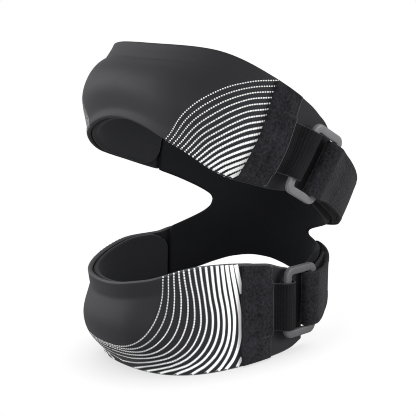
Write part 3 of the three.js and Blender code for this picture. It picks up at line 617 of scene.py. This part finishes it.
def capsules(name, starts, ends, ups, radius, mat):
    """Short raised threads between pairs of points."""
    points, faces = [], []
    for a, b, up in zip(starts, ends, ups):
        along = unit(b - a)
        side = unit(np.cross(along, up))
        up = unit(np.cross(side, along))
        base = len(points)
        for u, k in ((0, 0.35), (0.18, 1), (0.82, 1), (1, 0.35)):
            for q in range(6):
                ang = math.pi * 2 * q / 6
                points.append(a + (b - a) * u + (side * math.cos(ang) + up * math.sin(ang) * 0.8) * radius * k + up * radius * (0.3 if 0 < u < 1 else -0.2))
        for r in range(3):
            for q in range(6):
                i, j = base + r * 6 + q, base + r * 6 + (q + 1) % 6
                faces.append((i, j, j + 6, i + 6))
        faces.append(tuple(base + q for q in range(5, -1, -1)))
        faces.append(tuple(base + 18 + q for q in range(6)))
    return make_mesh(name, np.array(points), faces, [mat])


def stitch_rows(name, rows, pitch=2.3, length=1.55, radius=0.17, mat=None):
    """rows: lists of points (mm) with the outward direction at each."""
    s_all, e_all, u_all = [], [], []
    for pts, ups in rows:
        s = np.concatenate([[0], np.cumsum(np.linalg.norm(np.diff(pts, axis=0), axis=1))])
        at = lambda q: np.array([np.interp(q, s, pts[:, i]) for i in range(3)])
        up = lambda q: unit(np.array([np.interp(q, s, ups[:, i]) for i in range(3)]))
        for c in np.arange(pitch / 2, s[-1] - pitch / 3, pitch):
            s_all.append(at(c - length / 2))
            e_all.append(at(c + length / 2))
            u_all.append(up(c))
    return capsules(name, s_all, e_all, u_all, radius, mat or THREAD)


def rounded_box(x, y, r, n=9):
    pts = []
    for cx_, cy_, a0 in ((x - r, -y + r, -90), (x - r, y - r, 0), (-x + r, y - r, 90), (-x + r, -y + r, 180)):
        for k in range(n):
            a = rad(a0 + 90 * k / (n - 1))
            pts.append((cx_ + r * math.cos(a), cy_ + r * math.sin(a)))
    return np.array(pts)


def closure(prefix, o, grey):
    deg = np.arange(40, 221)
    track = P(deg, o["w"], 3.0)
    run = np.concatenate([[0], np.cumsum(np.linalg.norm(np.diff(track, axis=0), axis=1))])
    angle = lambda s: np.interp(s, run, deg)
    s0 = float(np.interp(o["t"], deg, run))
    mid = P(o["t"], o["w"], 0.0)
    ahead, behind = P(angle(s0 + 9), o["w"], 0.0), P(angle(s0 - 9), o["w"], 0.0)
    along = unit(ahead - behind)
    up = unit(P(o["t"], o["w"] + 13, 0.0) - P(o["t"], o["w"] - 13, 0.0))
    out = unit(np.cross(along, up))
    up = unit(np.cross(out, along))
    turn = Quaternion(Vector(out), math.radians(o["turn"]))
    along, up = np.array(turn @ Vector(along)), np.array(turn @ Vector(up))
    lift = float(np.dot(P(angle(s0), o["w"], 0.0) - (ahead + behind) / 2, out))
    tan = math.tan(math.radians(o["turn"]))

    def flat(s, w, d):
        s, w, d = np.broadcast_arrays(s, w, d)
        return mid + s[..., None] * along + (w - o["w"] - s * tan)[..., None] * up + (d - lift * 0.5 + o["raise"])[..., None] * out

    def soft(s, w, d):
        s, w, d = np.broadcast_arrays(np.asarray(s, float), np.asarray(w, float), np.asarray(d, float))
        k = (1 - smooth((np.abs(s) - 10.5) / np.where(s < 0, 8, 13)))[..., None]
        return P(angle(s0 + s), w, d) * (1 - k) + flat(s, w, d) * k

    def strip(name, path, thick, wide, middle, step, rows, rim, mats, ribs=0.0, rib_pitch=1.3):
        line, run_ = curve_through(path)
        n = int(run_[-1] / step) + 1
        u = np.linspace(rim, run_[-1] - rim, n)
        at = np.stack([np.interp(u, run_, line[:, i]) for i in (0, 1)], 1)
        e = 0.05
        fwd = np.stack([np.interp(u + e, run_, line[:, i]) - np.interp(u - e, run_, line[:, i]) for i in (0, 1)], 1)
        fwd = unit(fwd)
        bump_ = ribs * (0.5 - 0.5 * np.cos(2 * math.pi * u / rib_pitch)) ** 0.8
        half = thick / 2
        v = np.linspace(-0.5, 0.5, rows + 1)
        w = middle(angle(s0 + np.maximum(at[:, 0], -30)))[:, None] + (wide - 2 * rim) * v[None, :]
        S = np.repeat(at[:, :1], rows + 1, 1)
        D = np.repeat(at[:, 1:], rows + 1, 1)
        nx, ny = -fwd[:, 1:], fwd[:, :1]
        ho, hi = (half - bump_)[:, None], (half - bump_)[:, None]
        outer = soft(S - nx * ho, w, D - ny * ho)
        inner = soft(S + nx * hi, w, D + ny * hi)
        obj = solid(name, outer.reshape(-1, 3), inner.reshape(-1, 3), grid_quads(n, rows + 1), rim, mats)
        return obj, run_[-1], (outer, inner, w, at, u)

    # patch, which rises over the end of the webbing
    web_low, web_high = o["web"] - WEB_WIDE / 2, o["web"] + WEB_WIDE / 2
    start = float(angle(s0 + WEBBING_PATH[0][0]))

    def rise(t, w):
        return (WEB + 0.6) * smooth((t - start + 2.8) / 3.6) * smooth((w - web_low + 2.6) / 2) * smooth((web_high + 2.6 - w) / 2)

    rim = 0.55
    deg_mm = per_degree(o["seam"][0], o["w"])
    ts = np.linspace(o["seam"][0] + rim / deg_mm, o["seam"][1] - rim / deg_mm, 44)
    T = np.repeat(ts[:, None], 90, 1)
    W = (o["low"](T) + 0.6 + rim) + ((o["high"](T) - 0.6 - rim) - (o["low"](T) + 0.6 + rim)) * np.linspace(0, 1, 90)
    base = WALL + 0.62 + rise(T, W)
    patch = solid(prefix + "_patch", P(T, W, base + PATCH).reshape(-1, 3), P(T, W, base).reshape(-1, 3), grid_quads(44, 90), rim, [NAP, NAP, EDGE_CUT_AND_HIGHLIGHT])
    rows = []
    for t in (o["seam"][0] + 1.5 / deg_mm, o["seam"][1] - 1.3 / deg_mm):
        w = np.linspace(float(o["low"](t)) + 2.4, float(o["high"](t)) - 2.4, 60)
        tt = np.full(60, t)
        b = WALL + 0.62 + rise(tt, w) + PATCH + 0.06
        rows.append((P(tt, w, b), P(tt, w, b + 1) - P(tt, w, b)))
    tt = np.linspace(o["seam"][0] + 2.2 / deg_mm, o["seam"][1] - 2.0 / deg_mm, 30)
    w = o["high"](tt) - 2.0
    b = WALL + 0.62 + rise(tt, w) + PATCH + 0.06
    rows.append((P(tt, w, b), P(tt, w, b + 1) - P(tt, w, b)))
    w = o["low"](tt) + 2.0
    b = WALL + 0.62 + rise(tt, w) + PATCH + 0.06
    rows.append((P(tt, w, b), P(tt, w, b + 1) - P(tt, w, b)))
    thread = stitch_rows(prefix + "_patch_stitches", rows, pitch=1.9, length=1.5, radius=0.1, mat=PATCH_THREAD)
    patch_wide = (o["seam"][1] - o["seam"][0]) * deg_mm * MM
    patch_area = sum(face.area for face in patch.data.polygons if face.material_index == 0)
    # only the edge beside the webbing keeps the lighter edge colour: the cut side's own grey, lightened further by a
    # painted highlight
    rest = P(np.full(80, o["seam"][1]), np.linspace(float(o["low"](o["seam"][1])), float(o["high"](o["seam"][1])), 80), WALL + 2.2) * MM
    for face in patch.data.polygons:
        if face.material_index == 2 and np.min(np.linalg.norm(rest - np.array(face.center), axis=1)) > 0.0022:
            face.material_index = 0

    webbing, web_long, _ = strip(prefix + "_elastic", WEBBING_PATH, WEB, WEB_WIDE, lambda t: o["web"] + 0 * t, 0.16, 14, 0.35, [ELASTIC, ELASTIC, EDGE_MID], ribs=0.2, rib_pitch=1.35)
    strap, strap_long, (outer, inner, w, at, u) = strip(prefix + "_closing_strap", strap_path(o["end"], o["back"]), STRAP, STRAP_WIDE, lambda t: read(o["mid"], 1, t), 0.7, 16, 0.6, [STRAP_NAP, STRAP_NAP, EDGE_DARK])
    # edge stitches along both sides of the strap's outer layer and across its sewn end
    top_layer = at[:, 1] > 2.95
    far = np.nonzero(top_layer & (u > u[-1] * 0.5))[0]
    rows = []
    for col, sgn in ((1, 1), (-2, -1)):
        face = outer if np.dot((outer[far[0], 8] - inner[far[0], 8]), out) > 0 else inner
        other = inner if face is outer else outer
        p, q = face[far, col], other[far, col]
        rows.append((p + unit(p - q) * 0.05, unit(p - q)))
    for back in (3, 8):
        face_row, other_row = face[-back], other[-back]
        rows.append((face_row + unit(face_row - other_row) * 0.05, unit(face_row - other_row)))
    strap_thread = stitch_rows(prefix + "_strap_stitches", rows, radius=0.15)

    # buckle: a flat ring with rounded corners and bevelled edges
    x, y, bar, thick, r, bev = BUCKLE["wide"] / 2, BUCKLE["tall"] / 2, BUCKLE["bar"], BUCKLE["thick"], BUCKLE["corner"], BUCKLE["bevel"]
    loops = []
    h = thick / 2
    section = []
    for k in range(4):
        a = math.radians(90 * k / 3)
        section.append(("out", bev * (1 - math.sin(a)), h - bev * (1 - math.cos(a))) if False else ("out", bev * (1 - math.sin(a)), -(h - bev * (1 - math.cos(a)))))
    for k in range(4):
        a = math.radians(90 * (3 - k) / 3)
        section.append(("out", bev * (1 - math.sin(a)), h - bev * (1 - math.cos(a))))
    for k in range(4):
        a = math.radians(90 * k / 3)
        section.append(("in", bev * (1 - math.sin(a)), h - bev * (1 - math.cos(a))))
    for k in range(4):
        a = math.radians(90 * (3 - k) / 3)
        section.append(("in", bev * (1 - math.sin(a)), -(h - bev * (1 - math.cos(a)))))
    centre = flat(0.0, o["w"], BUCKLE["at"])
    for kind, e, z in section:
        box2 = rounded_box(x - e, y - e, r - e) if kind == "out" else rounded_box(x - bar + e, y - bar + e, 1.4 + e)
        loops.append(centre + box2[:, :1] * along + box2[:, 1:] * up + z * out)
    m, per = len(loops), len(loops[0])
    faces = [(i * per + j, i * per + (j + 1) % per, ((i + 1) % m) * per + (j + 1) % per, ((i + 1) % m) * per + j) for i in range(m) for j in range(per)]
    buckle = make_mesh(prefix + "_ring", np.concatenate(loops), faces, [grey])
    return dict(patch=patch, thread=thread, webbing=webbing, strap=strap, strap_thread=strap_thread, buckle=buckle,
                web_long=web_long, strap_long=strap_long, patch_wide=patch_wide, patch_area=patch_area)


upper = closure("upper", dict(t=90.2, w=100.2, web=102.2, seam=(61.4, 75.8), end=101, back=UPPER_STRAP_BACK, mid=UPPER_STRAP_MID, turn=-5, **{"raise": 0.6},
                              low=lambda t: read(UPPER_EDGES, 1, t), high=lambda t: read(UPPER_EDGES, 2, t)), GREY_LIGHT)
lower = closure("lower", dict(t=107.1, w=22.9, web=21.6, seam=(78.9, 92.2), end=66, back=LOWER_STRAP_BACK, mid=LOWER_STRAP_MID, turn=0, **{"raise": 0.2},
                              low=lambda t: floor_w(t, WALL + 1) + read(LOWER_EDGES, 1, t) + 0.2, high=lambda t: read(LOWER_EDGES, 2, t)), GREY_DARK)

# ---------- hide the CAD parts that the made pieces stand for ---
for obj, node, slot in ((upper_front, "upper_front", "front_cloth"), (lower_front, "lower_front", "front_cloth"),
                        (upper_pad, "upper_pad", "lining"), (lower_pad, "lower_pad", "lining"), (panel, "back_panel", "panel_cloth")):
    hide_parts(node)
for prefix, made in (("upper", upper), ("lower", lower)):
    for key, node, slot in (("patch", "_loop_patch", "loop_nap"), ("webbing", "_webbing", "elastic"), ("strap", "_strap", "strap_cloth"), ("buckle", "_buckle", "buckle")):
        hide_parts(prefix + node)


def outline(obj, thick):
    """Area of one face of a sheet, in square metres, from its mesh."""
    mesh = obj.data
    area = np.empty(len(mesh.polygons))
    mesh.polygons.foreach_get("area", area)
    index = np.empty(len(mesh.polygons), dtype=np.int32)
    mesh.polygons.foreach_get("material_index", index)
    return float(area[index == 0].sum())


# sheets: cut sizes and areas, in metres, from the made pieces
area = outline(panel, PANEL)
print("panel area mm2", round(area * 1e6, 1))

# ---------- stage, light and camera ----------
scene = bpy.context.scene


AMBIENT, BOUNCE = 0.50, 0.40


def emitter_floor():
    mesh = bpy.data.meshes.new("floor")
    mesh.from_pydata([(-3, -3, 0), (3, -3, 0), (3, 3, 0), (-3, 3, 0)], [], [(0, 1, 2, 3)])
    obj = bpy.data.objects.new("floor", mesh)
    scene.collection.objects.link(obj)
    # pale studio floor: an evenly bright white glow, with a painted soft shadow where the part stands on it, darkened
    # by ambient occlusion
    m, tree, shader = material("floor_white")
    tree.nodes.remove(shader)
    glow = tree.nodes.new("ShaderNodeEmission")
    near = tree.nodes.new("ShaderNodeAmbientOcclusion")
    near.samples = 24
    near.inputs["Distance"].default_value = 0.03
    shade = tree.nodes.new("ShaderNodeMapRange")
    shade.inputs["From Min"].default_value, shade.inputs["From Max"].default_value = 0.2, 0.85
    shade.inputs["To Min"].default_value, shade.inputs["To Max"].default_value = 0.70, 1.0
    link(tree, near.outputs["AO"], shade.inputs["Value"])
    ray = tree.nodes.new("ShaderNodeLightPath")
    power_ = tree.nodes.new("ShaderNodeMapRange")
    power_.inputs["To Min"].default_value, power_.inputs["To Max"].default_value = BOUNCE, 1.0
    link(tree, ray.outputs["Is Camera Ray"], power_.inputs["Value"])
    total = tree.nodes.new("ShaderNodeMath")
    total.operation = "MULTIPLY"
    link(tree, shade.outputs["Result"], total.inputs[0])
    link(tree, power_.outputs["Result"], total.inputs[1])
    link(tree, total.outputs[0], glow.inputs["Strength"])
    end = next(n for n in tree.nodes if n.type == "OUTPUT_MATERIAL")
    link(tree, glow.outputs[0], end.inputs["Surface"])
    mesh.materials.append(m)
    return obj


floor = emitter_floor()
world = bpy.data.worlds.new("white")
scene.world = world
world.use_nodes = True
back = next(n for n in world.node_tree.nodes if n.type == "BACKGROUND")
back.inputs["Color"].default_value = (1, 1, 1, 1)
seen = world.node_tree.nodes.new("ShaderNodeLightPath")
sky = world.node_tree.nodes.new("ShaderNodeMapRange")
sky.inputs["To Min"].default_value, sky.inputs["To Max"].default_value = AMBIENT, 1.0
link(world.node_tree, seen.outputs["Is Camera Ray"], sky.inputs["Value"])
link(world.node_tree, sky.outputs["Result"], back.inputs["Strength"])


def area_light(name, azimuth, elevation, distance, size, energy, aim=(0, 0, 0.085)):
    """azimuth 0 is in front (-Y), 90 the buckle side (+X)."""
    data = bpy.data.lights.new(name, "AREA")
    data.shape, data.size, data.energy = "DISK", size, energy
    obj = bpy.data.objects.new(name, data)
    a, e = math.radians(azimuth), math.radians(elevation)
    direction = Vector((math.sin(a) * math.cos(e), -math.cos(a) * math.cos(e), math.sin(e)))
    obj.location = Vector(aim) + direction * distance
    obj.rotation_mode = "QUATERNION"
    obj.rotation_quaternion = direction.to_track_quat("Z", "Y")
    scene.collection.objects.link(obj)
    return obj


area_light("key", -50, 20, 1.1, 1.1, 12.5)
area_light("fill", 125, 14, 1.1, 0.6, 8.0)
area_light("front", 35, 12, 1.2, 0.9, 6.5)

PHI, ELEVATION, ROLL, DISTANCE, CX, CY, FOCAL = 53.0877, 9.0149, -0.3094, 709.2094, 205.2043, 174.1797, 1.8797 * 709.2094
ph, el, ro = math.radians(PHI), math.radians(ELEVATION), math.radians(ROLL)
cam_back = Vector((math.sin(ph) * math.cos(el), -math.cos(ph) * math.cos(el), math.sin(el)))
cam_right = Vector((math.cos(ph), math.sin(ph), 0))
cam_up = cam_back.cross(cam_right)
cam_right, cam_up = cam_right * math.cos(ro) + cam_up * math.sin(ro), cam_up * math.cos(ro) - cam_right * math.sin(ro)
tilt = Matrix.Rotation(-math.radians(PITCH), 3, "X")
cam_back, cam_right, cam_up = tilt @ cam_back, tilt @ cam_right, tilt @ cam_up
target = tilt @ Vector((0, 0, 85.0)) - Vector((ORIGIN[0], ORIGIN[1], FLOOR))
place = (target + cam_back * DISTANCE) * MM
aim = (-cam_back + cam_right * ((208 - CX) / FOCAL) - cam_up * ((208 - CY) / FOCAL)).normalized()
swing = (-cam_back).rotation_difference(aim)
right2, back2 = swing @ cam_right, -aim
up2 = back2.cross(right2)
cam_data = bpy.data.cameras.new("camera")
cam_data.sensor_width = 36.0
cam_data.lens = FOCAL * 36.0 / 416.0
cam_data.clip_start, cam_data.clip_end = 0.01, 20.0
camera = bpy.data.objects.new("camera", cam_data)
camera.matrix_world = Matrix((
    (right2.x, up2.x, back2.x, place.x), (right2.y, up2.y, back2.y, place.y), (right2.z, up2.z, back2.z, place.z), (0, 0, 0, 1)))
scene.collection.objects.link(camera)
scene.camera = camera
scene.cycles.filter_width = 1.0
scene.view_settings.view_transform = "Standard"
scene.view_settings.look = "None"
scene.view_settings.exposure = 0.0
scene.view_settings.gamma = 1.0
